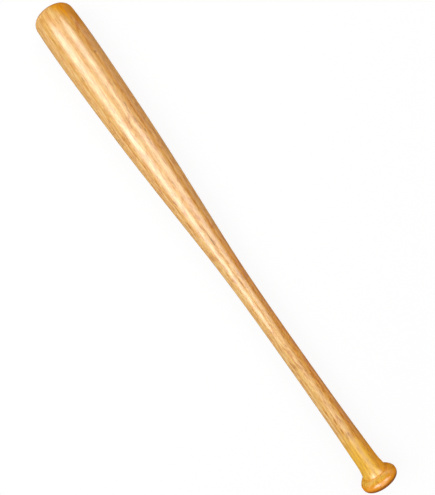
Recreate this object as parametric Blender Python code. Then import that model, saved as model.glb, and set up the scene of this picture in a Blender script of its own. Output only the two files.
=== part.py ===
"""One-piece wooden bat: a turned hardwood billet under a clear lacquer coat.

The bat lies along X with its knob end at -X and its barrel end at +X. The origin is under the
middle of its length, at the level of the barrel's lowest line. Units are metres.
"""
import math

import bmesh
import bpy
from mathutils import Matrix

# Driving dimensions
LENGTH = 0.762
BARREL_DIAMETER = 0.0584
KNOB_DIAMETER = 0.0522

# Diameters that the turner checks with callipers: distance from the knob end, diameter
TURNING_GAUGE = (
    (0.0173, 0.0353),
    (0.0235, 0.0326),
    (0.032, 0.0304),
    (0.045, 0.0295),
    (0.075, 0.0283),
    (0.125, 0.0269),
    (0.190, 0.0263),
    (0.260, 0.0267),
    (0.310, 0.0279),
    (0.350, 0.0301),
    (0.400, 0.0350),
    (0.450, 0.0407),
    (0.500, 0.0462),
    (0.560, 0.0516),
    (0.620, 0.0552),
    (0.670, 0.0574),
    (0.705, BARREL_DIAMETER),
    (0.735, 0.0576),
    (0.751, 0.0564),
)

# Knob: a rounded ring between the flat end and the crease where the handle flares into it
KNOB_CROWN_DISTANCE = 0.0085
KNOB_END_ROUNDNESS = 2.9
KNOB_HANDLE_SIDE_ROUNDNESS = 1.35

# Sanded end-grain discs
KNOB_END_DISC_RADIUS = 0.0160
BARREL_END_DISC_RADIUS = 0.0204

# Lacquer coat, with the gap that separate solids keep
COAT_THICKNESS = 0.0002
COAT_GAP = 0.0003

# Facets
FACETS_AROUND = 40
KNOB_END_STEPS = 7
KNOB_HANDLE_SIDE_STEPS = 6
SHOULDER_STEPS = 6
SEAM_MERGE_DISTANCE = 0.00001
SHARP_EDGE_ANGLE = math.radians(30.0)

# Finishes
WOOD_COLOUR = (0.70, 0.40, 0.15, 1.0)
WOOD_ROUGHNESS = 0.55
COAT_COLOUR = (0.80, 0.50, 0.20, 1.0)
COAT_ROUGHNESS = 0.12
COAT_OPACITY = 0.4


def superellipse_quarter(centre, half_sizes, roundness, steps):
    """Points of a rounded quarter from (centre + half size along X) to (centre + half size along Y)."""
    points = []
    for step in range(steps + 1):
        angle = 0.5 * math.pi * step / steps
        along = max(math.cos(angle), 0.0) ** (2.0 / roundness)
        across = max(math.sin(angle), 0.0) ** (2.0 / roundness)
        points.append((centre[0] + half_sizes[0] * along, centre[1] + half_sizes[1] * across))
    return points


def knob_outline():
    """Outline of the knob from its end disc over the crown to the crease at the handle."""
    crown_radius = 0.5 * KNOB_DIAMETER
    crease_distance, crease_diameter = TURNING_GAUGE[0]
    end_side = superellipse_quarter(
        (KNOB_CROWN_DISTANCE, KNOB_END_DISC_RADIUS),
        (-KNOB_CROWN_DISTANCE, crown_radius - KNOB_END_DISC_RADIUS),
        KNOB_END_ROUNDNESS,
        KNOB_END_STEPS,
    )
    handle_side = superellipse_quarter(
        (KNOB_CROWN_DISTANCE, 0.5 * crease_diameter),
        (crease_distance - KNOB_CROWN_DISTANCE, crown_radius - 0.5 * crease_diameter),
        KNOB_HANDLE_SIDE_ROUNDNESS,
        KNOB_HANDLE_SIDE_STEPS,
    )
    handle_side.reverse()
    return end_side + handle_side[1:]


def shoulder_outline(slope):
    """Arc from the last gauge station, leaving it at its slope, to the rim of the barrel's end disc."""
    start = (TURNING_GAUGE[-1][0], 0.5 * TURNING_GAUGE[-1][1])
    chord = (LENGTH - start[0], BARREL_END_DISC_RADIUS - start[1])
    tilt = math.atan(slope)
    inward = (math.sin(tilt), -math.cos(tilt))
    arc_radius = (chord[0] ** 2 + chord[1] ** 2) / (2.0 * (chord[0] * inward[0] + chord[1] * inward[1]))
    centre = (start[0] + arc_radius * inward[0], start[1] + arc_radius * inward[1])
    first = math.atan2(start[1] - centre[1], start[0] - centre[0])
    last = math.atan2(BARREL_END_DISC_RADIUS - centre[1], LENGTH - centre[0])
    points = []
    for step in range(1, SHOULDER_STEPS + 1):
        angle = first + (last - first) * step / SHOULDER_STEPS
        points.append((centre[0] + arc_radius * math.cos(angle), centre[1] + arc_radius * math.sin(angle)))
    return points


def bat_outline():
    """Outer outline of the finished bat as (distance from the knob end, radius), knob to barrel."""
    body = [(distance, 0.5 * diameter) for distance, diameter in TURNING_GAUGE]
    before, after = body[-2:]
    end_slope = (after[1] - before[1]) / (after[0] - before[0])
    return knob_outline() + body[1:] + shoulder_outline(end_slope)


def inset_outline(outline, depth):
    """The same outline moved inward by depth, square to its own direction."""
    moved = []
    last = len(outline) - 1
    for index, point in enumerate(outline):
        before = outline[max(index - 1, 0)]
        after = outline[min(index + 1, last)]
        sides = []
        for start, end in ((before, point), (point, after)):
            run = (end[0] - start[0], end[1] - start[1])
            size = math.hypot(*run)
            if size > 0.0:
                sides.append((run[1] / size, -run[0] / size))
        normal = (sum(side[0] for side in sides), sum(side[1] for side in sides))
        size = math.hypot(*normal)
        normal = (normal[0] / size, normal[1] / size)
        # A corner moves further, so that both of its sides move by depth
        reach = depth / (normal[0] * sides[0][0] + normal[1] * sides[0][1])
        moved.append((point[0] + reach * normal[0], point[1] + reach * normal[1]))
    return moved


def billet_outline(outline):
    """Bare wood: the outline under the coat, with a raised flat disc at each end."""
    under = inset_outline(outline, COAT_THICKNESS + COAT_GAP)
    knob_disc = outline[0][1] - COAT_GAP - COAT_THICKNESS
    barrel_disc = outline[-1][1] - COAT_GAP - COAT_THICKNESS
    knob_end = [(0.0, 0.0), (0.0, knob_disc), (under[0][0], knob_disc)]
    barrel_end = [(under[-1][0], barrel_disc), (LENGTH, barrel_disc), (LENGTH, 0.0)]
    return knob_end + under + barrel_end


def turn(name, outline, closed, material):
    """Turn an outline about the bat's long axis and return the closed solid as an object."""
    mesh = bpy.data.meshes.new(name)
    bm = bmesh.new()
    # Facets, not corners, face the ground and keep the true radius
    facet_angle = 2.0 * math.pi / FACETS_AROUND
    corner_reach = 1.0 / math.cos(0.5 * facet_angle)
    profile = []
    for distance, radius in outline:
        profile.append(bm.verts.new((distance - 0.5 * LENGTH, 0.0, radius * corner_reach)))
    edges = [bm.edges.new(pair) for pair in zip(profile, profile[1:])]
    if closed:
        edges.append(bm.edges.new((profile[-1], profile[0])))
    bmesh.ops.rotate(bm, verts=profile, matrix=Matrix.Rotation(0.5 * facet_angle, 3, "X"))
    bmesh.ops.spin(
        bm,
        geom=profile + edges,
        axis=(1.0, 0.0, 0.0),
        cent=(0.0, 0.0, 0.0),
        steps=FACETS_AROUND,
        angle=2.0 * math.pi,
        use_merge=True,
    )
    bmesh.ops.remove_doubles(bm, verts=bm.verts, dist=SEAM_MERGE_DISTANCE)
    bmesh.ops.recalc_face_normals(bm, faces=bm.faces)
    bm.to_mesh(mesh)
    bm.free()
    mesh.shade_smooth()
    mesh.set_sharp_from_angle(angle=SHARP_EDGE_ANGLE)
    mesh.materials.append(material)
    turned = bpy.data.objects.new(name, mesh)
    bpy.context.scene.collection.objects.link(turned)
    return turned


def finish_material(name, colour, roughness, opacity=1.0):
    """Principled material with one colour and roughness."""
    material = bpy.data.materials.new(name)
    material.use_nodes = True
    shader = material.node_tree.nodes["Principled BSDF"]
    shader.inputs["Base Color"].default_value = colour
    shader.inputs["Roughness"].default_value = roughness
    shader.inputs["Metallic"].default_value = 0.0
    shader.inputs["Alpha"].default_value = opacity
    return material


def clear_scene():
    for old in list(bpy.data.objects):
        bpy.data.objects.remove(old, do_unlink=True)


def build_hardwood_billet(outline):
    """The one piece of wood, from knob to barrel."""
    wood = finish_material("bare_hardwood", WOOD_COLOUR, WOOD_ROUGHNESS)
    return turn("hardwood_billet", billet_outline(outline), False, wood)


def build_lacquer_coat(outline):
    """The clear film over the turned surface, open at both end discs."""
    film = finish_material("clear_lacquer", COAT_COLOUR, COAT_ROUGHNESS, COAT_OPACITY)
    inner = inset_outline(outline, COAT_THICKNESS)
    inner.reverse()
    return turn("lacquer_coat", outline + inner, True, film)


def build_bat():
    """Both pieces, laid along X with the barrel's lowest line on the ground."""
    clear_scene()
    outline = bat_outline()
    axis = bpy.data.objects.new("turning_axis", None)
    axis.location = (0.0, 0.0, 0.5 * BARREL_DIAMETER)
    bpy.context.scene.collection.objects.link(axis)
    for piece in (build_hardwood_billet(outline), build_lacquer_coat(outline)):
        piece.parent = axis


build_bat()
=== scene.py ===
"""One-piece wooden bat: its lacquered turned surface, and the bare billet that shows at both ends.

The pieces share the CAD's frame. The bat lies along X with its knob end at -X and its barrel end
at +X, on the floor at Z = 0. Meshes are in metres, and materials work in millimetres from the
turning axis.
"""
import math

import bmesh
import bpy
import numpy as np
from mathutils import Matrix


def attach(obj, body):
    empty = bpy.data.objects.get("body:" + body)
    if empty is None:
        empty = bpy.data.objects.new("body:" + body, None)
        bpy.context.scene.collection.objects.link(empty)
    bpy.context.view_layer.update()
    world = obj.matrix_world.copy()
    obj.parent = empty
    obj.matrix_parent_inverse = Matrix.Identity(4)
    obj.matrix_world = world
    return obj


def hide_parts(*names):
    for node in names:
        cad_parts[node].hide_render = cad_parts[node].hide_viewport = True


# Driving dimensions
LENGTH = 0.762
BARREL_DIAMETER = 0.0584
KNOB_DIAMETER = 0.0522
AXIS_HEIGHT = 0.5 * BARREL_DIAMETER
KNOB_END = -0.5 * LENGTH

# Diameters that the turner checks with callipers: distance from the knob end, diameter
TURNING_GAUGE = (
    (0.0173, 0.0353),
    (0.0235, 0.0326),
    (0.032, 0.0304),
    (0.045, 0.0295),
    (0.075, 0.0283),
    (0.125, 0.0269),
    (0.190, 0.0263),
    (0.260, 0.0267),
    (0.310, 0.0279),
    (0.350, 0.0301),
    (0.400, 0.0350),
    (0.450, 0.0407),
    (0.500, 0.0462),
    (0.560, 0.0516),
    (0.620, 0.0552),
    (0.670, 0.0574),
    (0.705, BARREL_DIAMETER),
    (0.735, 0.0576),
    (0.751, 0.0564),
)

# Knob: a rounded ring between the flat end and the crease where the handle flares into it
KNOB_CROWN_DISTANCE = 0.0085
KNOB_END_ROUNDNESS = 2.9
KNOB_HANDLE_SIDE_ROUNDNESS = 1.35

# Sanded end-grain discs
KNOB_END_DISC_RADIUS = 0.0160
BARREL_END_DISC_RADIUS = 0.0204
DISC_EDGE_ROUNDING = 0.00015

# Lacquer film, with the hairline of bare wood that shows round each disc
COAT_THICKNESS = 0.0002
COAT_GAP = 0.00005

# Mesh fineness
SEGMENTS_AROUND = 128
KNOB_END_STEPS = 16
KNOB_HANDLE_SIDE_STEPS = 14
SHOULDER_STEPS = 16
FLARE_STATION_SPACING = 0.0015
BODY_STATION_SPACING = 0.005
FLARE_LENGTH = 0.06
DISC_RING_SHARES = (0.75, 0.5, 0.25)
EASED_CORNER_SHARE = 0.3
SHARP_EDGE_ANGLE = math.radians(30.0)

# Places on the pieces' maps, which run from 0 to 1: strips along V, and centres of the discs
MAP_NAME = "OFBake"
MAP_MARGIN = 0.01
HANDLE_HALF_STRIP = (0.01, 0.475)
BARREL_HALF_STRIP = (0.485, 0.95)
INNER_SIDE_STRIP = (0.965, 0.99)
BILLET_STRIP = (0.01, 0.30)
KNOB_DISC_ON_MAP = (0.25, 0.65)
BARREL_DISC_ON_MAP = (0.75, 0.65)
DISC_HALF_SIZE_ON_MAP = 0.23

# Camera: above the middle of the bat, turned so that the barrel points up and to the left
CAMERA_PLACE = (-0.0007, -0.0016)
CAMERA_ABOVE_AXIS = 0.8614
CAMERA_TURN = math.radians(-125.27)
CAMERA_LENS = 47.19
CAMERA_SENSOR = 36.0

# Lamps: rows of soft boxes along both sides of the bat, soft light overhead, and dim fill from the sides
LAMP_HEIGHT = 1.50
LAMPS = (
    # name, tilt from overhead in degrees (positive towards +Y), first and last X, width, radiance
    ("soft_box_left", 33.5, -0.44, 0.48, 1.25, 3.5),
    ("soft_box_left_middle", 33.5, -0.02, 0.48, 1.25, 0.3),
    ("soft_box_left_far", 31.5, 0.42, 1.26, 1.15, 3.15),
    ("soft_box_left_end", 31.5, 0.84, 1.26, 1.15, 0.7),
    ("soft_box_right", -34.0, -0.44, 0.46, 1.35, 1.90),
    ("soft_box_right_middle", -32.0, -0.22, 0.46, 1.15, 0.5),
    ("soft_box_right_far", -30.0, 0.40, 1.32, 0.92, 1.8),
    ("soft_box_right_end", -30.0, 0.66, 1.32, 0.92, 0.4),
    ("soft_box_right_tip", -30.0, 0.84, 1.32, 0.92, 1.2),
    ("overhead", 0.0, -0.10, 1.30, 0.80, 0.35),
    ("overhead_handle", 0.0, -1.60, -0.40, 1.70, 0.40),
    ("overhead_wide", 0.0, -1.60, 1.30, 1.70, 0.65),
    ("side_fill_left", 60.0, -1.20, 1.60, 1.60, 0.5),
    ("side_fill_right", -58.0, 0.20, 1.60, 1.60, 0.5),
)
# Each lamp is a stack of layers, from slim and long to wide and short, so that it fades towards its rim
LAMP_LAYER_GROWTH = (-0.5, 0.0, 0.5)
LAMP_END_ROUNDING = 0.06
LAMP_LAYER_STEP = 0.010

# Room: dim light, and a white backdrop whose mirror image fades out between these rises above the horizon
WHITE = (1.0, 1.0, 1.0, 1.0)
ROOM_LIGHT = 0.10
HORIZON_FADE = (0.0, 0.16)

# Floor: pale where it is seen, and grey in the light that it sends back up
FLOOR_SIZE = 12.0
FLOOR_SEEN = (0.94, 0.94, 0.94, 1.0)
FLOOR_BOUNCE = (0.50, 0.50, 0.50, 1.0)
FLOOR_WHITENING = 0.90


# Outline

def superellipse_quarter(centre, half_sizes, roundness, steps):
    """Points of a rounded quarter, from its end along the bat to its end across the bat."""
    points = []
    for step in range(steps + 1):
        angle = 0.5 * math.pi * step / steps
        along = max(math.cos(angle), 0.0) ** (2.0 / roundness)
        across = max(math.sin(angle), 0.0) ** (2.0 / roundness)
        points.append((centre[0] + half_sizes[0] * along, centre[1] + half_sizes[1] * across))
    return points


def knob_outline():
    """Outline of the knob from its end disc over the crown to the crease at the handle."""
    crown_radius = 0.5 * KNOB_DIAMETER
    crease_distance, crease_diameter = TURNING_GAUGE[0]
    end_side = superellipse_quarter(
        (KNOB_CROWN_DISTANCE, KNOB_END_DISC_RADIUS),
        (-KNOB_CROWN_DISTANCE, crown_radius - KNOB_END_DISC_RADIUS),
        KNOB_END_ROUNDNESS,
        KNOB_END_STEPS,
    )
    handle_side = superellipse_quarter(
        (KNOB_CROWN_DISTANCE, 0.5 * crease_diameter),
        (crease_distance - KNOB_CROWN_DISTANCE, crown_radius - 0.5 * crease_diameter),
        KNOB_HANDLE_SIDE_ROUNDNESS,
        KNOB_HANDLE_SIDE_STEPS,
    )
    handle_side.reverse()
    return end_side + handle_side[1:]


def end_slope(points):
    """Slope at the first of three points, on the parabola through them."""
    (x0, y0), (x1, y1), (x2, y2) = points
    first = (y1 - y0) / (x1 - x0)
    second = (y2 - y1) / (x2 - x1)
    return first - (second - first) * (x1 - x0) / (x2 - x0)


class SmoothLine:
    """Smooth curve through points: cubic pieces whose slope and curvature run on from each to the next."""

    def __init__(self, points):
        self.at = np.array([point[0] for point in points])
        self.value = np.array([point[1] for point in points])
        count = len(points)
        run = np.diff(self.at)
        chord = np.diff(self.value) / run
        matrix = np.zeros((count, count))
        right = np.zeros(count)
        matrix[0, 0] = matrix[-1, -1] = 1.0
        right[0] = end_slope(points[:3])
        right[-1] = end_slope(points[:-4:-1])
        for row in range(1, count - 1):
            before, after = run[row - 1], run[row]
            matrix[row, row - 1] = after
            matrix[row, row] = 2.0 * (before + after)
            matrix[row, row + 1] = before
            right[row] = 3.0 * (after * chord[row - 1] + before * chord[row])
        self.slope = np.linalg.solve(matrix, right)

    def __call__(self, place):
        piece = int(np.clip(np.searchsorted(self.at, place) - 1, 0, len(self.at) - 2))
        run = self.at[piece + 1] - self.at[piece]
        t = (place - self.at[piece]) / run
        start, end = self.value[piece], self.value[piece + 1]
        leave, arrive = self.slope[piece] * run, self.slope[piece + 1] * run
        return (
            start * (2.0 * t**3 - 3.0 * t**2 + 1.0)
            + leave * (t**3 - 2.0 * t**2 + t)
            + end * (3.0 * t**2 - 2.0 * t**3)
            + arrive * (t**3 - t**2)
        )


def shoulder_outline(slope):
    """Arc from the last gauge station, leaving it at its slope, to the rim of the barrel's end disc."""
    start = (TURNING_GAUGE[-1][0], 0.5 * TURNING_GAUGE[-1][1])
    chord = (LENGTH - start[0], BARREL_END_DISC_RADIUS - start[1])
    tilt = math.atan(slope)
    inward = (math.sin(tilt), -math.cos(tilt))
    arc_radius = (chord[0] ** 2 + chord[1] ** 2) / (2.0 * (chord[0] * inward[0] + chord[1] * inward[1]))
    centre = (start[0] + arc_radius * inward[0], start[1] + arc_radius * inward[1])
    first = math.atan2(start[1] - centre[1], start[0] - centre[0])
    last = math.atan2(BARREL_END_DISC_RADIUS - centre[1], LENGTH - centre[0])
    points = []
    for step in range(1, SHOULDER_STEPS + 1):
        angle = first + (last - first) * step / SHOULDER_STEPS
        points.append((centre[0] + arc_radius * math.cos(angle), centre[1] + arc_radius * math.sin(angle)))
    return points


def body_outline(radius_at):
    """Stations from the crease to the last gauge station, closer together on the flare."""
    first, last = TURNING_GAUGE[0][0], TURNING_GAUGE[-1][0]
    flare_end = first + FLARE_LENGTH
    flare_steps = round(FLARE_LENGTH / FLARE_STATION_SPACING)
    body_steps = round((last - flare_end) / BODY_STATION_SPACING)
    places = [first + FLARE_LENGTH * step / flare_steps for step in range(1, flare_steps + 1)]
    places += [flare_end + (last - flare_end) * step / body_steps for step in range(1, body_steps + 1)]
    largest = 0.5 * BARREL_DIAMETER
    return [(place, min(float(radius_at(place)), largest)) for place in places]


def bat_outline():
    """Outer outline of the finished bat as (distance from the knob end, radius), knob to barrel."""
    radius_at = SmoothLine([(distance, 0.5 * diameter) for distance, diameter in TURNING_GAUGE])
    return knob_outline() + body_outline(radius_at) + shoulder_outline(radius_at.slope[-1])


def inset_outline(outline, depth):
    """The same outline moved inward by depth, square to its own direction."""
    moved = []
    last = len(outline) - 1
    for index, point in enumerate(outline):
        before = outline[max(index - 1, 0)]
        after = outline[min(index + 1, last)]
        sides = []
        for start, end in ((before, point), (point, after)):
            run = (end[0] - start[0], end[1] - start[1])
            size = math.hypot(*run)
            if size > 0.0:
                sides.append((run[1] / size, -run[0] / size))
        normal = (sum(side[0] for side in sides), sum(side[1] for side in sides))
        size = math.hypot(*normal)
        normal = (normal[0] / size, normal[1] / size)
        # A corner moves further, so that both of its sides move by depth
        reach = depth / (normal[0] * sides[0][0] + normal[1] * sides[0][1])
        moved.append((point[0] + reach * normal[0], point[1] + reach * normal[1]))
    return moved


# Meshes

def place_on_circle(distance, radius, step):
    """World place of a station, step segments round from the underside."""
    angle = 2.0 * math.pi * step / SEGMENTS_AROUND
    across = -radius * math.sin(angle)
    up = -radius * math.cos(angle)
    return (distance + KNOB_END, across, up + AXIS_HEIGHT)


def strip_map(lengths, strip):
    """Map places for stations laid along U by their running length, and round the bat along V."""
    start, end = lengths[0], lengths[-1]
    low, high = strip

    def place(length, turn):
        u = MAP_MARGIN + (1.0 - 2.0 * MAP_MARGIN) * (length - start) / (end - start)
        return (u, low + (high - low) * turn)

    return place


def running_lengths(outline):
    """Length along the outline from its first point to each point."""
    lengths = [0.0]
    for start, end in zip(outline, outline[1:]):
        lengths.append(lengths[-1] + math.hypot(end[0] - start[0], end[1] - start[1]))
    return lengths


def turn_strip(bm, rings, lengths, place, uv_layer):
    """Faces between rings of vertices, with their places on the map."""
    for index in range(len(rings) - 1):
        for step in range(SEGMENTS_AROUND):
            after = (step + 1) % SEGMENTS_AROUND
            corners = [
                (rings[index][step], lengths[index], step),
                (rings[index + 1][step], lengths[index + 1], step),
                (rings[index + 1][after], lengths[index + 1], step + 1),
                (rings[index][after], lengths[index], step + 1),
            ]
            face = bm.faces.new([corner[0] for corner in corners])
            face.smooth = True
            for loop, corner in zip(face.loops, corners):
                loop[uv_layer].uv = place(corner[1], corner[2] / SEGMENTS_AROUND)


def ring_of_vertices(bm, distance, radius):
    return [bm.verts.new(place_on_circle(distance, radius, step)) for step in range(SEGMENTS_AROUND)]


def finish_piece(name, bm, material):
    """The finished mesh as an object, smooth but for its sharp edges."""
    bmesh.ops.recalc_face_normals(bm, faces=bm.faces)
    mesh = bpy.data.meshes.new(name)
    bm.to_mesh(mesh)
    bm.free()
    mesh.set_sharp_from_angle(angle=SHARP_EDGE_ANGLE)
    mesh.materials.append(material)
    piece = bpy.data.objects.new(name, mesh)
    bpy.context.scene.collection.objects.link(piece)
    return piece


def build_lacquered_surface(outline, material):
    """The closed film over the turned surface: its outer side in two wide strips on the map."""
    bm = bmesh.new()
    uv_layer = bm.loops.layers.uv.new(MAP_NAME)
    outer_lengths = running_lengths(outline)
    middle = 0.5 * outer_lengths[-1]
    half = min(range(len(outline)), key=lambda index: abs(outer_lengths[index] - middle))
    inner = inset_outline(outline, COAT_THICKNESS)
    inner.reverse()
    outer_rings = [ring_of_vertices(bm, *point) for point in outline]
    inner_rings = [ring_of_vertices(bm, *point) for point in inner]
    handle_half = strip_map(outer_lengths[: half + 1], HANDLE_HALF_STRIP)
    barrel_half = strip_map(outer_lengths[half:], BARREL_HALF_STRIP)
    turn_strip(bm, outer_rings[: half + 1], outer_lengths[: half + 1], handle_half, uv_layer)
    turn_strip(bm, outer_rings[half:], outer_lengths[half:], barrel_half, uv_layer)
    under = [outer_rings[-1]] + inner_rings + [outer_rings[0]]
    under_lengths = running_lengths([outline[-1]] + inner + [outline[0]])
    inner_side = strip_map(under_lengths, INNER_SIDE_STRIP)
    turn_strip(bm, under, under_lengths, inner_side, uv_layer)
    return finish_piece("lacquered_surface", bm, material)


def disc_faces(bm, rim, distance, radius, uv_layer, map_centre):
    """A flat end disc made of rings and a small middle fan, laid flat on the map."""
    rings = [ring_of_vertices(bm, distance, radius * share) for share in DISC_RING_SHARES]
    middle = bm.verts.new((distance + KNOB_END, 0.0, AXIS_HEIGHT))
    rings = [rim] + rings

    def put(loop):
        place = loop.vert.co
        u = map_centre[0] + DISC_HALF_SIZE_ON_MAP * place.y / radius
        v = map_centre[1] + DISC_HALF_SIZE_ON_MAP * (place.z - AXIS_HEIGHT) / radius
        loop[uv_layer].uv = (u, v)

    for outer, inner in zip(rings, rings[1:]):
        for step in range(SEGMENTS_AROUND):
            after = (step + 1) % SEGMENTS_AROUND
            face = bm.faces.new((outer[step], outer[after], inner[after], inner[step]))
            for loop in face.loops:
                put(loop)
    for step in range(SEGMENTS_AROUND):
        after = (step + 1) % SEGMENTS_AROUND
        face = bm.faces.new((rings[-1][step], rings[-1][after], middle))
        for loop in face.loops:
            put(loop)


def build_bare_billet(outline, material):
    """The wood under the film, with a raised flat disc at each end, whose edge is eased by sanding."""
    bm = bmesh.new()
    uv_layer = bm.loops.layers.uv.new(MAP_NAME)
    depth = COAT_THICKNESS + COAT_GAP
    knob_disc = outline[0][1] - depth
    barrel_disc = outline[-1][1] - depth
    ease = DISC_EDGE_ROUNDING
    corner = EASED_CORNER_SHARE * ease
    profile = [(0.0, knob_disc - ease), (corner, knob_disc - corner), (ease, knob_disc)]
    profile += inset_outline(outline, depth)
    profile += [
        (LENGTH - ease, barrel_disc),
        (LENGTH - corner, barrel_disc - corner),
        (LENGTH, barrel_disc - ease),
    ]
    lengths = running_lengths(profile)
    rings = [ring_of_vertices(bm, *point) for point in profile]
    turn_strip(bm, rings, lengths, strip_map(lengths, BILLET_STRIP), uv_layer)
    disc_faces(bm, rings[0], 0.0, knob_disc - ease, uv_layer, KNOB_DISC_ON_MAP)
    disc_faces(bm, rings[-1], LENGTH, barrel_disc - ease, uv_layer, BARREL_DISC_ON_MAP)
    return finish_piece("bare_billet", bm, material)


# Materials

MILLIMETRES = 1000.0
# How far a pattern's seed moves it along X, Y and Z
SEED_STEPS = (1.0, 1.7, 2.3)
BUMP_DEPTH = 0.0001


class Shader:
    """A material's node tree, with short calls that add a node and return its result."""

    def __init__(self, name):
        self.material = bpy.data.materials.new(name)
        self.material.use_nodes = True
        self.tree = self.material.node_tree
        self.surface = self.tree.nodes["Principled BSDF"]
        place = self.add("ShaderNodeTexCoord").outputs["Object"]
        from_axis = self.vector("SUBTRACT", place, (0.0, 0.0, AXIS_HEIGHT))
        self.place = self.vector("MULTIPLY", from_axis, (MILLIMETRES, MILLIMETRES, MILLIMETRES))

    def add(self, kind, **settings):
        node = self.tree.nodes.new(kind)
        for name, value in settings.items():
            setattr(node, name, value)
        return node

    def put(self, socket, value):
        if isinstance(value, bpy.types.NodeSocket):
            self.tree.links.new(value, socket)
        else:
            socket.default_value = value

    def vector(self, operation, first, second):
        node = self.add("ShaderNodeVectorMath", operation=operation)
        self.put(node.inputs[0], first)
        self.put(node.inputs[1], second)
        return node.outputs["Vector"]

    def length(self, vector):
        node = self.add("ShaderNodeVectorMath", operation="LENGTH")
        self.put(node.inputs[0], vector)
        return node.outputs["Value"]

    def number(self, operation, *values):
        node = self.add("ShaderNodeMath", operation=operation)
        for socket, value in zip(node.inputs, values):
            self.put(socket, value)
        return node.outputs[0]

    def parts(self, vector):
        node = self.add("ShaderNodeSeparateXYZ")
        self.put(node.inputs[0], vector)
        return node.outputs

    def joined(self, x, y, z):
        node = self.add("ShaderNodeCombineXYZ")
        for socket, value in zip(node.inputs, (x, y, z)):
            self.put(socket, value)
        return node.outputs[0]

    def ranged(self, value, span, results=(0.0, 1.0)):
        """Value taken softly from the ends of span to the two results, and held beyond them."""
        node = self.add("ShaderNodeMapRange", interpolation_type="SMOOTHSTEP")
        for name, number in zip(("From Min", "From Max", "To Min", "To Max"), (*span, *results)):
            self.put(node.inputs[name], number)
        self.put(node.inputs["Value"], value)
        return node.outputs["Result"]

    def scattered(self, place, sizes, seed):
        """Place counted in patches of sizes, and moved to a part of the pattern of its own."""
        shrink = tuple(1.0 / size for size in sizes)
        scaled = self.vector("MULTIPLY", place, shrink)
        return self.vector("ADD", scaled, tuple(step * seed for step in SEED_STEPS))

    def noise(self, place, sizes, detail, roughness, seed):
        """Noise whose patches are about sizes long, in millimetres along X, Y and Z."""
        moved = self.scattered(place, sizes, seed)
        node = self.add("ShaderNodeTexNoise")
        self.put(node.inputs["Vector"], moved)
        self.put(node.inputs["Scale"], 1.0)
        self.put(node.inputs["Detail"], detail)
        self.put(node.inputs["Roughness"], roughness)
        return node.outputs[0]

    def cells(self, place, sizes, seed):
        """Distance to the nearest scattered point, in cells about sizes long, and each cell's own number."""
        moved = self.scattered(place, sizes, seed)
        node = self.add("ShaderNodeTexVoronoi")
        self.put(node.inputs["Vector"], moved)
        self.put(node.inputs["Scale"], 1.0)
        return node.outputs["Distance"], self.parts(node.outputs["Color"])[0]

    def blend(self, share, first, second, way="MIX"):
        node = self.add("ShaderNodeMix", data_type="RGBA", blend_type=way)
        self.put(node.inputs[0], share)
        self.put(node.inputs[6], first)
        self.put(node.inputs[7], second)
        return node.outputs[2]

    def bumped(self, height, strength):
        node = self.add("ShaderNodeBump")
        self.put(node.inputs["Strength"], strength)
        self.put(node.inputs["Distance"], BUMP_DEPTH)
        self.put(node.inputs["Height"], height)
        return node.outputs["Normal"]


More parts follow.
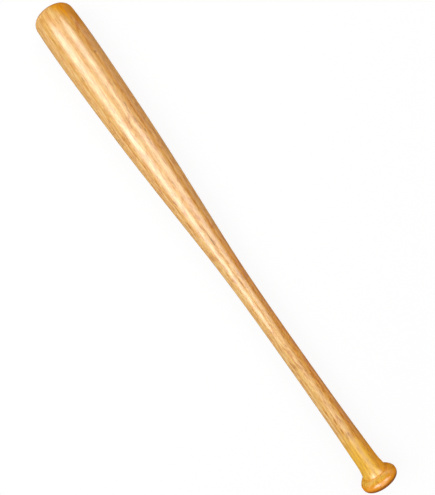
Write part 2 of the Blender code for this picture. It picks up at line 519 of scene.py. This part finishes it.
class Grain:
    """The wood's own structure, which runs through the whole billet along its length."""

    # The middle of the tree, in millimetres across the bat, well outside the billet
    PITH = (46.0, -14.0)
    # The trunk's grain isn't quite in line with the turning axis, and sways a little from side to side
    SLOPE = (0.010, -0.014)
    SWAY = 9.0
    SWAY_IN_Y = ((170.0, 1.0, 1.0), 1.0, 0.5, 3.1)
    SWAY_IN_Z = ((210.0, 1.0, 1.0), 1.0, 0.5, 8.4)

    # Growth rings: spacing, and how far uneven growth and good or bad years move them, in millimetres
    RING_SPACING = 5.6
    UNEVEN_GROWTH = 7.0
    YEARLY_GROWTH = 5.0
    UNEVEN_RINGS = ((260.0, 14.0, 14.0), 2.0, 0.5, 5.5)
    YEARS = ((7.0, 1.0, 1.0), 1.0, 0.5, 1.3)
    EARLY_TO_LATE = (0.20, 0.88)
    NEXT_SPRING = (0.90, 1.0)

    # Patterns along the grain: size of the patches in millimetres, layers of detail, roughness, seed
    FIBRES = ((24.0, 0.55, 0.55), 3.0, 0.6, 2.2)
    STREAKS = ((95.0, 3.6, 3.6), 2.0, 0.55, 6.6)
    FIGURE = ((14.0, 2.1, 2.1), 2.0, 0.6, 4.1)
    CLOUDS = ((150.0, 26.0, 26.0), 2.0, 0.5, 9.7)
    MOTTLE = ((40.0, 1.1, 1.1), 3.0, 0.6, 2.8)

    # Share of a vessel's reach, and share of all the vessels, that are at full darkness
    DARK_CORE = 0.45
    DARK_VESSELS = 0.6

    def __init__(self, shader):
        self.shader = shader
        x, y, z = shader.parts(shader.place)
        sway_y = shader.noise(shader.joined(x, 0.0, 0.0), *self.SWAY_IN_Y)
        sway_z = shader.noise(shader.joined(x, 0.0, 0.0), *self.SWAY_IN_Z)
        self.y = self.leaned(x, y, self.SLOPE[0], sway_y)
        self.z = self.leaned(x, z, self.SLOPE[1], sway_z)
        self.place = shader.joined(x, self.y, self.z)

    def leaned(self, along, across, slope, sway):
        shader = self.shader
        swing = shader.number("MULTIPLY_ADD", sway, self.SWAY, -0.5 * self.SWAY)
        straight = shader.number("MULTIPLY_ADD", along, slope, across)
        return shader.number("ADD", straight, swing)

    def from_pith(self):
        """Places across the bat as seen from the middle of the tree."""
        across = self.shader.number("SUBTRACT", self.y, self.PITH[0])
        up = self.shader.number("SUBTRACT", self.z, self.PITH[1])
        return across, up

    def growth_rings(self):
        """0 in early wood to 1 in the narrow dark late wood."""
        shader = self.shader
        radius = shader.length(shader.joined(0.0, *self.from_pith()))
        years = shader.noise(shader.joined(radius, 0.0, 0.0), *self.YEARS)
        radius = shader.number("MULTIPLY_ADD", self.pattern(self.UNEVEN_RINGS), self.UNEVEN_GROWTH, radius)
        radius = shader.number("MULTIPLY_ADD", years, self.YEARLY_GROWTH, radius)
        season = shader.number("FRACT", shader.number("DIVIDE", radius, self.RING_SPACING))
        early_to_late = shader.ranged(season, self.EARLY_TO_LATE)
        next_spring = shader.ranged(season, self.NEXT_SPRING, (1.0, 0.0))
        return shader.number("MULTIPLY", early_to_late, next_spring)

    def pattern(self, settings):
        """One of the patterns along the grain, about 0.5 in its middle."""
        return self.shader.noise(self.place, *settings)

    def vessels(self, sizes, reach, share, seed):
        """Short dark vessel lines: long narrow ellipsoids in a share of the cells."""
        shader = self.shader
        distance, number = shader.cells(self.place, sizes, seed)
        line = shader.ranged(distance, (self.DARK_CORE * reach, reach), (1.0, 0.0))
        chosen = shader.ranged(number, (1.0 - share, 1.0 - self.DARK_VESSELS * share))
        return shader.number("MULTIPLY", line, chosen)


WOOD_PALE = (0.93, 0.64, 0.250, 1.0)
WOOD_LIGHT = (0.91, 0.54, 0.160, 1.0)
WOOD_TAN = (0.86, 0.46, 0.120, 1.0)
WOOD_LATE = (0.62, 0.27, 0.050, 1.0)
STREAK_ROSE = (0.90, 0.48, 0.160, 1.0)
VESSEL_BROWN = (0.26, 0.10, 0.030, 1.0)
FLECK_BROWN = (0.42, 0.18, 0.050, 1.0)
FLECK_TINT = (0.74, 0.56, 0.36, 1.0)

# Painted shade: the -Y side of the bat, which the lamps light less, is tinted darker: tints of its body, its
# handle and its knob, and the places round the bat, as Y over the distance from the axis, between which they
# set in
SHADED_SIDE_TINT = (0.94, 0.74, 0.44, 1.0)
SHADED_HANDLE_SIDE_TINT = (0.88, 0.57, 0.12, 1.0)
SHADED_KNOB_SIDE_TINT = (1.0, 0.72, 0.25, 1.0)
SHADED_SIDE_SPAN = (-0.15, -0.75)

# End grain and pooled lacquer, with painted shade in the crease and on the knob's end side
AMBER = (0.98, 0.56, 0.055, 1.0)
DEEP_AMBER = (0.87, 0.39, 0.012, 1.0)
RED_AMBER_AND_SHADE = (0.90, 0.31, 0.008, 1.0)
END_BROWN_AND_SHADE = (0.34, 0.080, 0.004, 1.0)
RIM_AMBER = (0.58, 0.22, 0.016, 1.0)

# Where the colours change along the bat: X in millimetres from its middle, where each change starts and ends
HANDLE_SHADE_SPAN = (50.0, -40.0)
KNOB_SHADE_SPAN = (-290.0, -340.0)
CALM_FIGURE_SPAN = (200.0, 290.0)
FLARE_AMBER_SPAN = (-280.0, -332.0)
SHOULDER_AMBER_SPAN = (368.0, 393.0)
KNOB_RED_SPAN = (-366.0, -371.5)
# Painted shade: the knob's end side darkens to brown where it turns away from the lamps
KNOB_END_SHADE_SPAN = (-373.2, -377.6)
BARREL_RIM_SPAN = (375.6, 380.6)
# The crease above the knob, and how far from it the lacquer in it starts to thin out and ends: partly
# lacquer pooled in the crease and partly painted shade there
CREASE_PLACE = -364.0
CREASE_SHADE_REACH = (0.3, 1.8)

# How far clouds and fibres move the edges of the amber, in millimetres, and how the shoulder's edge slants
CLOUDY_EDGE = 24.0
FIBROUS_EDGE = 44.0
SHOULDER_CLOUD_SHARE = 0.4
SHOULDER_SLANT = -1.6

STAIN_DARK = (0.30, 0.12, 0.035, 1.0)
STAIN_BROWN = (0.40, 0.17, 0.045, 1.0)
STAIN_ORANGE = (0.62, 0.24, 0.025, 1.0)
STAIN_RUST = (0.62, 0.20, 0.020, 1.0)
STAIN_RED = (0.72, 0.22, 0.015, 1.0)

# Marks on the upper side: first and last place (X and Y in mm), half width, strength, colour
MARKS = (
    ((34.0, -1.9), (-12.0, 0.4), 1.00, 1.00, STAIN_DARK),
    ((-20.0, 0.7), (-75.0, 0.3), 0.80, 0.55, STAIN_BROWN),
    ((-31.0, -4.6), (-54.0, -4.0), 0.80, 0.70, STAIN_BROWN),
    ((-10.0, 7.0), (-38.0, 6.4), 1.10, 0.70, STAIN_ORANGE),
    ((57.0, -9.8), (50.0, -9.2), 1.00, 0.85, STAIN_DARK),
    ((-152.0, -0.6), (-161.0, -0.2), 1.00, 0.85, STAIN_DARK),
    ((-294.0, -0.8), (-302.5, -0.2), 1.10, 1.00, STAIN_DARK),
    ((-326.5, -9.8), (-335.0, -9.2), 1.10, 1.00, STAIN_DARK),
    ((227.0, -11.8), (211.0, -11.0), 1.10, 0.85, STAIN_BROWN),
    ((216.0, -9.3), (203.0, -9.0), 0.90, 0.75, STAIN_BROWN),
    ((203.0, -11.2), (188.0, -10.2), 1.10, 0.85, STAIN_BROWN),
    ((193.0, -9.4), (178.0, -9.6), 0.90, 0.75, STAIN_BROWN),
    ((200.0, -19.4), (184.0, -18.6), 1.30, 0.70, STAIN_ORANGE),
    ((182.0, -13.6), (172.0, -12.8), 1.20, 0.75, STAIN_BROWN),
    ((206.0, -6.2), (192.0, -0.6), 0.80, 0.70, STAIN_BROWN),
    ((164.0, -9.6), (154.0, -9.4), 1.00, 0.85, STAIN_BROWN),
    ((161.0, -19.8), (155.0, -19.4), 1.40, 0.75, STAIN_BROWN),
    ((357.5, -28.0), (325.0, -13.4), 3.00, 0.90, STAIN_RUST),
    ((318.0, -20.0), (300.0, -17.0), 3.20, 0.55, STAIN_ORANGE),
    ((300.5, -19.4), (295.0, -18.6), 2.10, 0.70, STAIN_BROWN),
    ((-358.0, 12.8), (-363.0, 14.2), 1.80, 0.60, STAIN_RED),
    ((-367.0, 4.2), (-377.0, 4.6), 0.60, 0.70, END_BROWN_AND_SHADE),
)
# Each mark is widest at this height above the axis, and as high on both sides of it
MARK_HEIGHT = 30.0
# How ragged the marks are, and the soft edge that each has, counted in its own half sizes
MARK_RAGGED = ((7.0, 0.8, 0.8), 2.0, 0.6, 4.4)
MARK_FRAY = 0.9
MARK_EDGE = (0.75, 1.50)


def marks_over(shader, colour):
    """Mineral streaks and flecks, each a thin blade through the upper side, blended over colour."""
    ragged = shader.noise(shader.place, *MARK_RAGGED)
    x, y, z = shader.parts(shader.place)
    for first, last, half_width, strength, stain in MARKS:
        middle_x, middle_y = 0.5 * (first[0] + last[0]), 0.5 * (first[1] + last[1])
        half_length = 0.5 * abs(first[0] - last[0])
        lean = (first[1] - last[1]) / (first[0] - last[0])
        from_middle = shader.number("SUBTRACT", x, middle_x)
        line_y = shader.number("MULTIPLY_ADD", from_middle, lean, middle_y)
        reach = shader.joined(
            shader.number("DIVIDE", from_middle, half_length),
            shader.number("DIVIDE", shader.number("SUBTRACT", y, line_y), half_width),
            shader.number("DIVIDE", shader.number("SUBTRACT", z, MARK_HEIGHT), MARK_HEIGHT),
        )
        frayed = shader.number("MULTIPLY_ADD", ragged, MARK_FRAY, shader.length(reach))
        share = shader.ranged(frayed, MARK_EDGE, (strength, 0.0))
        colour = shader.blend(share, colour, stain)
    return colour


def tinted(shader, share, colour, tint):
    """Colour with a share of tint laid over it as a glaze."""
    return shader.blend(share, colour, shader.blend(1.0, colour, tint, "MULTIPLY"))


def amber_shares(shader, clouds, streaks):
    """End grain drinks lacquer: the shares of amber on the flare and knob, and on the shoulder's -Y side."""
    x, y = shader.parts(shader.place)[:2]
    uneven = shader.number("MULTIPLY_ADD", clouds, CLOUDY_EDGE, -0.5 * CLOUDY_EDGE)
    at_knob = shader.ranged(shader.number("ADD", x, uneven), FLARE_AMBER_SPAN, (0.0, 0.95))
    # The shoulder's amber reaches further down the bat towards -Y, and further along some fibres
    slanted = shader.number("MULTIPLY_ADD", y, SHOULDER_SLANT, x)
    slanted = shader.number("MULTIPLY_ADD", uneven, SHOULDER_CLOUD_SHARE, slanted)
    along_fibres = shader.number("MULTIPLY_ADD", streaks, FIBROUS_EDGE, -0.5 * FIBROUS_EDGE)
    slanted = shader.number("ADD", slanted, along_fibres)
    return at_knob, shader.ranged(slanted, SHOULDER_AMBER_SPAN, (0.0, 0.97))


def pooled_lacquer_and_shade(shader, colour):
    """Lacquer that ran together: red amber over the knob and in the crease, and dark at both rims. The red
    amber in the crease is partly painted shade, and the dark brown at the knob's end is painted shade on the
    side turned away from the lamps, partly dark end grain.
    """
    x = shader.parts(shader.place)[0]
    colour = shader.blend(shader.ranged(x, KNOB_RED_SPAN, (0.0, 0.85)), colour, RED_AMBER_AND_SHADE)
    # Painted shade: dark brown on the knob's end side, which is turned away from the lamps, partly dark end
    # grain
    colour = shader.blend(shader.ranged(x, KNOB_END_SHADE_SPAN, (0.0, 0.95)), colour, END_BROWN_AND_SHADE)
    colour = shader.blend(shader.ranged(x, BARREL_RIM_SPAN), colour, RIM_AMBER)
    # Painted shade in the crease, partly lacquer pooled in it
    from_crease = shader.number("ABSOLUTE", shader.number("SUBTRACT", x, CREASE_PLACE))
    return shader.blend(shader.ranged(from_crease, CREASE_SHADE_REACH, (0.35, 0.0)), colour, RED_AMBER_AND_SHADE)


# Vessels and flecks: size of their cells in millimetres, reach, share of the cells, seed
VESSELS = ((24.0, 0.95, 0.95), 0.17, 0.75, 1.1)
FLECKS = ((22.0, 2.4, 2.4), 0.30, 0.60, 7.3)

# The film's own slight waves, and its gloss
FILM_WAVES = ((13.0, 2.0, 2.0), 2.0, 0.5, 5.0)
FILM_WAVE_STRENGTH = 0.36
FILM_ROUGHNESS = 0.12
FILM_IOR = 1.95
WOOD_IOR = 1.5

# Turn away from the eye, 0 to 1, over which the film's share changes, and its share at both ends of that
FILM_TURN_SPAN = (0.15, 0.60)
FILM_SHARES = (1.0, 0.20)
# The same for thirsty end grain: where its loss sets in, how large it is, and the film left on the shoulder
THIRST_TURN_SPAN = (0.10, 0.40)
THIRST_LOSS = 0.85
SHOULDER_THIRST_SPAN = (0.2, 0.9)
SHOULDER_FILM_SHARES = (1.0, 0.20)


def painted_side_shade(shader):
    """Painted shade: 0 over the top and the +Y side of the bat, to 1 on its -Y side, and the darker tint
    painted on that side, which the lamps light less.
    """
    x, y, z = shader.parts(shader.place)
    from_axis = shader.length(shader.joined(0.0, y, z))
    share = shader.ranged(shader.number("DIVIDE", y, from_axis), SHADED_SIDE_SPAN)
    tint = shader.blend(shader.ranged(x, HANDLE_SHADE_SPAN), SHADED_SIDE_TINT, SHADED_HANDLE_SIDE_TINT)
    return share, shader.blend(shader.ranged(x, KNOB_SHADE_SPAN), tint, SHADED_KNOB_SIDE_TINT)


def film_share(shader, amber, at_shoulder):
    """The film mirrors the lamps fully, and less of its surroundings where it is seen at a slant."""
    facing = shader.add("ShaderNodeLayerWeight").outputs["Facing"]
    film = shader.ranged(facing, FILM_TURN_SPAN, FILM_SHARES)
    # Thirsty end grain leaves less of it on top, on the knob's sides and the shoulder
    thirsty = shader.number("MULTIPLY", amber, shader.ranged(facing, THIRST_TURN_SPAN))
    film = shader.number("MULTIPLY", film, shader.number("MULTIPLY_ADD", thirsty, -THIRST_LOSS, 1.0))
    on_shoulder = shader.ranged(at_shoulder, SHOULDER_THIRST_SPAN, SHOULDER_FILM_SHARES)
    return shader.number("MULTIPLY", film, on_shoulder)


def lacquered_wood():
    """Light hardwood with amber ends, seen through a clear glossy film.

    Each pattern is taken over a span of its own values, and gives the next colour's share of 0 to 1.
    """
    shader = Shader("lacquered_wood")
    grain = Grain(shader)
    rings = grain.growth_rings()
    fibres = grain.pattern(Grain.FIBRES)
    streaks = grain.pattern(Grain.STREAKS)
    clouds = grain.pattern(Grain.CLOUDS)
    figure = grain.pattern(Grain.FIGURE)
    vessels = grain.vessels(*VESSELS)
    flecks = grain.vessels(*FLECKS)
    x = shader.parts(shader.place)[0]

    colour = shader.blend(shader.ranged(streaks, (0.30, 0.70)), WOOD_LIGHT, WOOD_TAN)
    colour = shader.blend(shader.ranged(clouds, (0.40, 0.70), (0.0, 0.5)), colour, STREAK_ROSE)
    colour = shader.blend(shader.ranged(figure, (0.49, 0.36), (0.0, 0.75)), colour, WOOD_PALE)
    amber, at_shoulder = amber_shares(shader, clouds, streaks)
    colour = shader.blend(amber, colour, AMBER)
    colour = shader.blend(at_shoulder, colour, DEEP_AMBER)
    # Painted shade: a darker tint on the -Y side, which the lamps light less
    side_shade_share, side_shade_tint = painted_side_shade(shader)
    colour = tinted(shader, side_shade_share, colour, side_shade_tint)
    colour = shader.blend(shader.number("MULTIPLY", rings, 0.40), colour, WOOD_LATE)
    # The figure is calmer towards the barrel's end and under the amber
    calm_barrel = shader.ranged(x, CALM_FIGURE_SPAN, (1.0, 0.55))
    calm_amber = shader.ranged(amber, (0.0, 1.0), (1.0, 0.55))
    dark_flecks = shader.number("MULTIPLY", shader.ranged(figure, (0.50, 0.66)), calm_barrel)
    dark_flecks = shader.number("MULTIPLY", dark_flecks, calm_amber)
    colour = tinted(shader, dark_flecks, colour, FLECK_TINT)
    colour = shader.blend(shader.ranged(fibres, (0.52, 0.72), (0.0, 0.45)), colour, WOOD_LATE)
    colour = shader.blend(shader.number("MULTIPLY", flecks, 0.55), colour, FLECK_BROWN)
    colour = shader.blend(shader.number("MULTIPLY", vessels, 0.70), colour, VESSEL_BROWN)
    # Pooled lacquer colours, with painted shade in the crease and on the knob's end side
    colour = pooled_lacquer_and_shade(shader, colour)
    colour = marks_over(shader, colour)

    height = shader.number("SUBTRACT", shader.number("MULTIPLY", fibres, 0.4), vessels)
    surface = shader.surface
    shader.put(surface.inputs["Base Color"], colour)
    shader.put(surface.inputs["Roughness"], shader.ranged(streaks, (0.2, 0.8), (0.42, 0.52)))
    shader.put(surface.inputs["Normal"], shader.bumped(height, 0.25))
    surface.inputs["IOR"].default_value = WOOD_IOR
    # The film wets the wood, so that the wood has no gloss of its own under it
    surface.inputs["Specular IOR Level"].default_value = 0.0
    shader.put(surface.inputs["Coat Weight"], film_share(shader, amber, at_shoulder))
    surface.inputs["Coat Roughness"].default_value = FILM_ROUGHNESS
    surface.inputs["Coat IOR"].default_value = FILM_IOR
    waves = shader.noise(shader.place, *FILM_WAVES)
    shader.put(surface.inputs["Coat Normal"], shader.bumped(waves, FILM_WAVE_STRENGTH))
    return shader.material


END_GRAIN_LIGHT = (0.76, 0.40, 0.185, 1.0)
END_GRAIN_TAN = (0.68, 0.33, 0.140, 1.0)
END_GRAIN_DARK = (0.46, 0.18, 0.065, 1.0)
END_GRAIN_PALE = (0.88, 0.56, 0.300, 1.0)
END_PORE = (0.26, 0.090, 0.032, 1.0)

# Pores: size of their cells in millimetres, reach, share of the cells, seed
END_PORES = ((24.0, 0.95, 0.95), 0.26, 0.9, 1.1)
FILLED_PORES = ((24.0, 1.15, 1.15), 0.28, 0.7, 8.2)

# Rays: millimetres round the pith for each radian, and their pattern along that arc
RAY_ARC = 75.0
RAYS = ((0.8, 1.0, 1.0), 2.0, 0.5, 0.0)

SANDING_MARKS = ((30.0, 0.25, 9.0), 2.0, 0.6, 3.9)
BARE_WOOD_IOR = 1.45


def bare_end_grain():
    """Sanded wood: growth rings cut across, pale rays out from the pith, open pores and sanding marks."""
    shader = Shader("bare_end_grain")
    grain = Grain(shader)
    rings = grain.growth_rings()
    mottle = grain.pattern(Grain.MOTTLE)
    clouds = grain.pattern(Grain.CLOUDS)
    pores = grain.vessels(*END_PORES)
    filled_pores = grain.vessels(*FILLED_PORES)
    across, up = grain.from_pith()
    bearing = shader.number("ARCTAN2", up, across)
    along_arc = shader.joined(shader.number("MULTIPLY", bearing, RAY_ARC), 0.0, 0.0)
    rays = shader.noise(along_arc, *RAYS)
    scratches = shader.noise(shader.place, *SANDING_MARKS)

    colour = shader.blend(shader.ranged(clouds, (0.35, 0.65)), END_GRAIN_LIGHT, END_GRAIN_TAN)
    colour = shader.blend(shader.ranged(mottle, (0.35, 0.75), (0.0, 0.45)), colour, END_GRAIN_DARK)
    colour = shader.blend(shader.number("MULTIPLY", rings, 0.60), colour, END_GRAIN_DARK)
    colour = shader.blend(shader.ranged(rays, (0.55, 0.75), (0.0, 0.35)), colour, END_GRAIN_PALE)
    colour = shader.blend(shader.ranged(scratches, (0.60, 0.80), (0.0, 0.30)), colour, END_GRAIN_PALE)
    colour = shader.blend(shader.number("MULTIPLY", filled_pores, 0.55), colour, END_GRAIN_PALE)
    colour = shader.blend(shader.number("MULTIPLY", pores, 0.80), colour, END_PORE)

    height = shader.number("SUBTRACT", shader.number("MULTIPLY", scratches, 0.3), pores)
    surface = shader.surface
    shader.put(surface.inputs["Base Color"], colour)
    shader.put(surface.inputs["Roughness"], shader.ranged(mottle, (0.2, 0.8), (0.50, 0.68)))
    shader.put(surface.inputs["Normal"], shader.bumped(height, 0.35))
    surface.inputs["IOR"].default_value = BARE_WOOD_IOR
    return shader.material


# Stage

def clamped_sum(tree, first, others):
    """Sum of the outputs of nodes, held to 1 at most."""
    total = first
    for other in others:
        add = tree.nodes.new("ShaderNodeMath")
        add.operation = "ADD"
        add.use_clamp = True
        tree.links.new(total, add.inputs[0])
        tree.links.new(other, add.inputs[1])
        total = add.outputs[0]
    return total


def build_floor():
    """Paper floor: nearly white where it is seen, directly or mirrored, with the bat's shadow on it."""
    bm = bmesh.new()
    bmesh.ops.create_grid(bm, x_segments=1, y_segments=1, size=0.5 * FLOOR_SIZE)
    mesh = bpy.data.meshes.new("floor")
    bm.to_mesh(mesh)
    bm.free()
    floor = bpy.data.objects.new("floor", mesh)
    bpy.context.scene.collection.objects.link(floor)
    material = bpy.data.materials.new("floor_paper")
    material.use_nodes = True
    tree = material.node_tree
    paper = tree.nodes["Principled BSDF"]
    path = tree.nodes.new("ShaderNodeLightPath").outputs
    seen = clamped_sum(tree, path["Is Camera Ray"], (path["Is Glossy Ray"], path["Is Transmission Ray"]))
    colour = tree.nodes.new("ShaderNodeMix")
    colour.data_type = "RGBA"
    tree.links.new(seen, colour.inputs[0])
    colour.inputs[6].default_value = FLOOR_BOUNCE
    colour.inputs[7].default_value = FLOOR_SEEN
    tree.links.new(colour.outputs[2], paper.inputs["Base Color"])
    paper.inputs["Roughness"].default_value = 1.0
    paper.inputs["Specular IOR Level"].default_value = 0.0
    white = tree.nodes.new("ShaderNodeEmission")
    white.inputs["Color"].default_value = WHITE
    share = tree.nodes.new("ShaderNodeMath")
    share.operation = "MULTIPLY"
    share.inputs[1].default_value = FLOOR_WHITENING
    tree.links.new(seen, share.inputs[0])
    mix = tree.nodes.new("ShaderNodeMixShader")
    tree.links.new(share.outputs[0], mix.inputs[0])
    tree.links.new(paper.outputs[0], mix.inputs[1])
    tree.links.new(white.outputs[0], mix.inputs[2])
    tree.links.new(mix.outputs[0], tree.nodes["Material Output"].inputs["Surface"])
    mesh.materials.append(material)


def build_world():
    """Dim room light behind a white backdrop, which fades out above the horizon where it is mirrored."""
    world = bpy.data.worlds.new("studio")
    bpy.context.scene.world = world
    world.use_nodes = True
    tree = world.node_tree
    room = tree.nodes["Background"]
    room.inputs["Color"].default_value = WHITE
    room.inputs["Strength"].default_value = ROOM_LIGHT
    backdrop = tree.nodes.new("ShaderNodeBackground")
    backdrop.inputs["Color"].default_value = WHITE
    backdrop.inputs["Strength"].default_value = 1.0
    direction = tree.nodes.new("ShaderNodeSeparateXYZ")
    tree.links.new(tree.nodes.new("ShaderNodeTexCoord").outputs["Generated"], direction.inputs[0])
    fade = tree.nodes.new("ShaderNodeMapRange")
    fade.interpolation_type = "SMOOTHSTEP"
    fade.inputs["From Min"].default_value = HORIZON_FADE[0]
    fade.inputs["From Max"].default_value = HORIZON_FADE[1]
    fade.inputs["To Min"].default_value = 1.0
    fade.inputs["To Max"].default_value = 0.0
    tree.links.new(direction.outputs["Z"], fade.inputs["Value"])
    path = tree.nodes.new("ShaderNodeLightPath").outputs
    mirrored = tree.nodes.new("ShaderNodeMath")
    mirrored.operation = "MULTIPLY"
    tree.links.new(fade.outputs["Result"], mirrored.inputs[0])
    tree.links.new(path["Is Glossy Ray"], mirrored.inputs[1])
    seen = (path["Is Camera Ray"], path["Is Transmission Ray"])
    share = clamped_sum(tree, mirrored.outputs[0], seen)
    mix = tree.nodes.new("ShaderNodeMixShader")
    tree.links.new(share, mix.inputs[0])
    tree.links.new(room.outputs[0], mix.inputs[1])
    tree.links.new(backdrop.outputs[0], mix.inputs[2])
    tree.links.new(mix.outputs[0], tree.nodes["World Output"].inputs["Surface"])


def build_lamps():
    """Every layer hangs a little higher than the one before, so that no two lie in one plane."""
    height = LAMP_HEIGHT
    for name, tilt_degrees, first, last, width, radiance in LAMPS:
        tilt = math.radians(tilt_degrees)
        for layer, growth in enumerate(LAMP_LAYER_GROWTH):
            light = bpy.data.lights.new(f"{name}_{layer}", "AREA")
            light.shape = "RECTANGLE"
            light.size = last - first - 2.0 * growth * LAMP_END_ROUNDING
            light.size_y = width + growth * width
            light.energy = radiance / len(LAMP_LAYER_GROWTH) * math.pi * light.size * light.size_y
            lamp = bpy.data.objects.new(light.name, light)
            lamp.location = (0.5 * (first + last), height * math.tan(tilt), AXIS_HEIGHT + height)
            lamp.rotation_euler = (-tilt, 0.0, 0.0)
            lamp.visible_camera = False
            bpy.context.scene.collection.objects.link(lamp)
            height += LAMP_LAYER_STEP


def build_camera():
    camera_data = bpy.data.cameras.new("camera")
    camera_data.sensor_fit = "AUTO"
    camera_data.sensor_width = CAMERA_SENSOR
    camera_data.lens = CAMERA_LENS
    camera = bpy.data.objects.new("camera", camera_data)
    camera.location = (*CAMERA_PLACE, AXIS_HEIGHT + CAMERA_ABOVE_AXIS)
    camera.rotation_euler = (0.0, 0.0, CAMERA_TURN)
    bpy.context.scene.collection.objects.link(camera)
    bpy.context.scene.camera = camera


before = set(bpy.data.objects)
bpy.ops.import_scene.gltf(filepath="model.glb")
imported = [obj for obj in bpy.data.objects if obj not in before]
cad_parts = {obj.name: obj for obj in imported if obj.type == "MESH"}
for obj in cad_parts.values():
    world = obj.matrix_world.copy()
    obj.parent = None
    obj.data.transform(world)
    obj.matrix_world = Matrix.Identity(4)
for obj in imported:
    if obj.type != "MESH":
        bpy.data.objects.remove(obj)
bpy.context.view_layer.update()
build_camera()
outline = bat_outline()

surface_piece = build_lacquered_surface(outline, lacquered_wood())
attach(surface_piece, "root")
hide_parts("lacquer_coat")

billet_piece = build_bare_billet(outline, bare_end_grain())
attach(billet_piece, "root")
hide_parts("hardwood_billet")

build_floor()
build_world()
build_lamps()
bpy.context.scene.view_settings.view_transform = "Standard"
